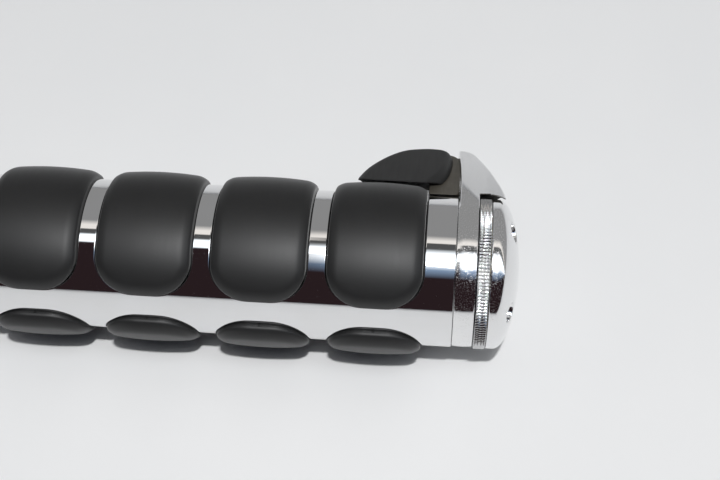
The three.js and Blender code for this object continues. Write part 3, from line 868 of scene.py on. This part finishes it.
make_shell()
for row in ROW_ANGLES:
    for number in (1, 2, 3, 4):
        make_pad(row, number)
make_tube_and_sleeve()
make_hub()
make_washer_and_cap_inside()
make_knurl()
make_dome()
make_palm_rest()


# --- Floor, light and camera --------------------------------------------------------------------------

def floor_material():
    material, tree, shader = finish_material("table_top", 0.0)
    cloud = noise(tree, 6, 5, 0.6)
    tone = ramp(tree, cloud, [(0.3, (0.80, 0.805, 0.81)), (0.7, grey(0.84))])
    tree.links.new(tone, shader.inputs["Base Color"])
    shader.inputs["Roughness"].default_value = 0.7
    return material


def make_floor():
    half = 4.0
    corners = [(-half, -half, 0), (half, -half, 0), (half, half, 0), (-half, half, 0)]
    mesh = bpy.data.meshes.new("table")
    mesh.from_pydata(corners, [], [(0, 1, 2, 3)])
    mesh.materials.append(floor_material())
    table = bpy.data.objects.new("table", mesh)
    bpy.context.scene.collection.objects.link(table)
    table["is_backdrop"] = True


# The studio that the chrome reflects: a dark wall in front, a bright panel overhead, a dark flag, a
# narrow strip light and a grey ceiling behind. Each list gives radiance by elevation in degrees, from
# the front horizontal (0) over the top (90) to the back (180), right of the object and left of it.
WALL = (.025, .015, .017)
PANEL = (1.9, 2.0, 2.1)
FLAG = (.1, .1, .1)
STRIP = (1.0, .95, .9)
CEILING = (.3, .3, .3)
ROOM_RIGHT = [(0, WALL), (50, WALL), (62, (.25, .35, .5)), (74, PANEL), (85, PANEL), (94, FLAG),
              (102, FLAG), (103, STRIP), (107, STRIP), (115, CEILING), (180, CEILING)]
ROOM_LEFT = [(0, WALL), (76, WALL), (79, PANEL), (87, PANEL), (91, FLAG),
             (97, FLAG), (98, STRIP), (104, STRIP), (112, CEILING), (180, CEILING)]


def make_world():
    """The studio in reflections, a plain pale backdrop for the camera, and less of it as fill light."""
    world = bpy.data.worlds.new("studio")
    bpy.context.scene.world = world
    world.use_nodes = True
    tree = world.node_tree
    background = tree.nodes["Background"]
    where = tree.nodes.new("ShaderNodeTexCoord")
    parts = tree.nodes.new("ShaderNodeSeparateXYZ")
    tree.links.new(where.outputs["Generated"], parts.inputs["Vector"])

    def math_node(kind, a, b=None):
        node = tree.nodes.new("ShaderNodeMath")
        node.operation = kind
        for socket, source in zip(node.inputs, (a, b)):
            if isinstance(source, (int, float)):
                socket.default_value = source
            elif source is not None:
                tree.links.new(source, socket)
        return node.outputs["Value"]
    front = math_node("MULTIPLY", parts.outputs["Y"], -1.0)
    height = math_node("MAXIMUM", parts.outputs["Z"], 0.0005)
    elevation = math_node("ARCTAN2", height, front)
    wobble = noise(tree, 2.2, 3, 0.5)
    elevation = math_node("ADD", elevation, math_node("MULTIPLY", math_node("SUBTRACT", wobble, 0.5), 0.05))
    share = math_node("DIVIDE", elevation, math.pi)
    right = ramp(tree, share, [(a / 180, c) for a, c in ROOM_RIGHT])
    left = ramp(tree, share, [(a / 180, c) for a, c in ROOM_LEFT])
    side = tree.nodes.new("ShaderNodeMapRange")
    side.interpolation_type = "SMOOTHSTEP"
    side.inputs["From Min"].default_value = -0.15
    side.inputs["From Max"].default_value = -0.05
    tree.links.new(parts.outputs["X"], side.inputs["Value"])
    room = mixed(tree, side.outputs["Result"], left, right)
    pale = ramp(tree, share, [(0.0, grey(0.72)), (1.0, grey(0.8))])
    path = tree.nodes.new("ShaderNodeLightPath")
    tree.links.new(mixed(tree, path.outputs["Is Camera Ray"], room, pale), background.inputs["Color"])
    dimmed = math_node("MULTIPLY", path.outputs["Is Diffuse Ray"], 0.6)
    tree.links.new(math_node("SUBTRACT", 1.0, dimmed), background.inputs["Strength"])


def make_softbox(name, place, aim, width, height, power, in_chrome):
    light = bpy.data.lights.new(name, "AREA")
    light.shape = "RECTANGLE"
    light.size = width
    light.size_y = height
    light.energy = power
    lamp = bpy.data.objects.new(name, light)
    bpy.context.scene.collection.objects.link(lamp)
    lamp.location = place
    lamp.rotation_euler = (Vector(aim) - Vector(place)).to_track_quat("-Z", "Y").to_euler()
    lamp.visible_glossy = in_chrome
    lamp.visible_camera = False
    lamp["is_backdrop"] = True


def make_camera():
    """A view down onto the front of the grip, a little turned about its line of sight."""
    camera = bpy.data.objects.new("camera", bpy.data.cameras.new("camera"))
    bpy.context.scene.collection.objects.link(camera)
    place = Vector(to_row([-2.0, -148.17, 267.31]))
    aim = Vector(to_row([-22.04, 7.08, 0]))
    roll = Quaternion((0, 0, 1), math.radians(-3.31))
    turn = (aim - place).to_track_quat("-Z", "Y") @ roll
    camera.matrix_world = Matrix.Translation(place) @ turn.to_matrix().to_4x4()
    camera.data.sensor_width = 36.0
    camera.data.lens = 67.32
    camera.data.clip_start = 0.01
    bpy.context.scene.camera = camera


make_floor()
make_world()
make_softbox("key", (0.11, -0.25, 0.96), (0, 0, 0), 0.05, 0.025, 6.2, True)
make_softbox("window", (0.2, -0.2, 0.98), (0, 0, 0), 0.5, 0.12, 1.2, True)
make_camera()
bpy.context.scene.view_settings.view_transform = "Standard"

boxes = {"cad": bounds_at_load, "visual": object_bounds()}
{name: [list(corner) for corner in box] for name, box in boxes.items()}
